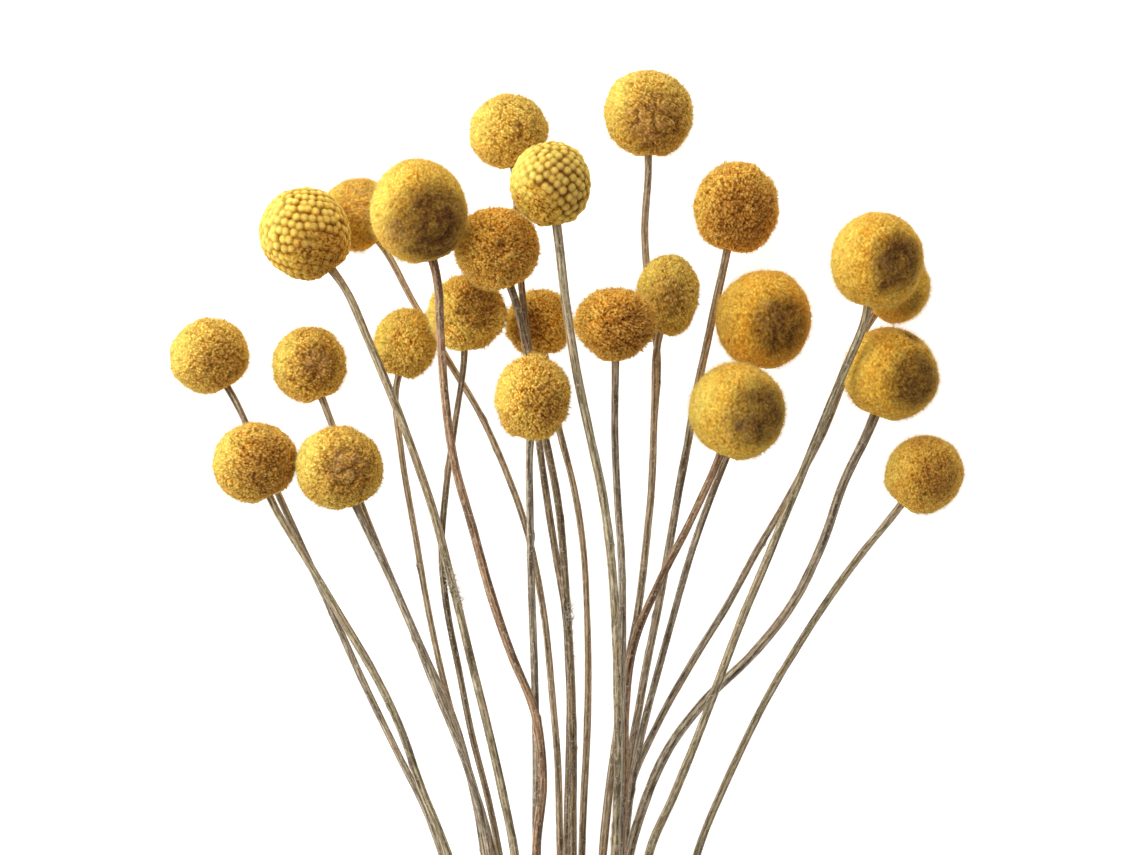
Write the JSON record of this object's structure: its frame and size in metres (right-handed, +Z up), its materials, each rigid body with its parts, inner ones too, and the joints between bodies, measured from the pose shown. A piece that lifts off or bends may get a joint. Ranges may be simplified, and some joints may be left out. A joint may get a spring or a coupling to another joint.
{
  "type": "bunch of dried flowers",
  "caption": "Loose bunch of dried billy button flowers: round yellow heads fanned out on long bare stems, lying flat with the cut ends together.",
  "frame": {"origin": "on the surface that the bunch lies on, under the middle of its bounding box", "axes": "+Y along the stems towards the heads, +X to the right with the heads up and seen from above, +Z up from the surface"},
  "size_m": [0.2618, 0.4372, 0.0783],
  "materials": {
    "flower_head": "matt, granular dried florets",
    "stem": "matt, ribbed dried stem with fine hairs"
  },
  "bodies": {
    "root": {"stem_01": "stem", "head_01": "flower_head", "stem_02": "stem", "head_02": "flower_head", "stem_03": "stem", "head_03": "flower_head", "stem_04": "stem", "head_04": "flower_head", "stem_05": "stem", "head_05": "flower_head", "stem_06": "stem", "head_06": "flower_head", "stem_07": "stem", "head_07": "flower_head", "stem_08": "stem", "head_08": "flower_head", "stem_09": "stem", "head_09": "flower_head", "stem_10": "stem", "head_10": "flower_head", "stem_11": "stem", "head_11": "flower_head", "stem_12": "stem", "head_12": "flower_head", "stem_13": "stem", "head_13": "flower_head", "stem_14": "stem", "head_14": "flower_head", "stem_15": "stem", "head_15": "flower_head", "stem_16": "stem", "head_16": "flower_head", "stem_17": "stem", "head_17": "flower_head", "stem_18": "stem", "head_18": "flower_head", "stem_19": "stem", "head_19": "flower_head", "stem_20": "stem", "head_20": "flower_head", "stem_21": "stem", "head_21": "flower_head", "stem_22": "stem", "head_22": "flower_head", "stem_23": "stem", "head_23": "flower_head", "stem_24": "stem", "head_24": "flower_head"}
  },
  "joints": []
}
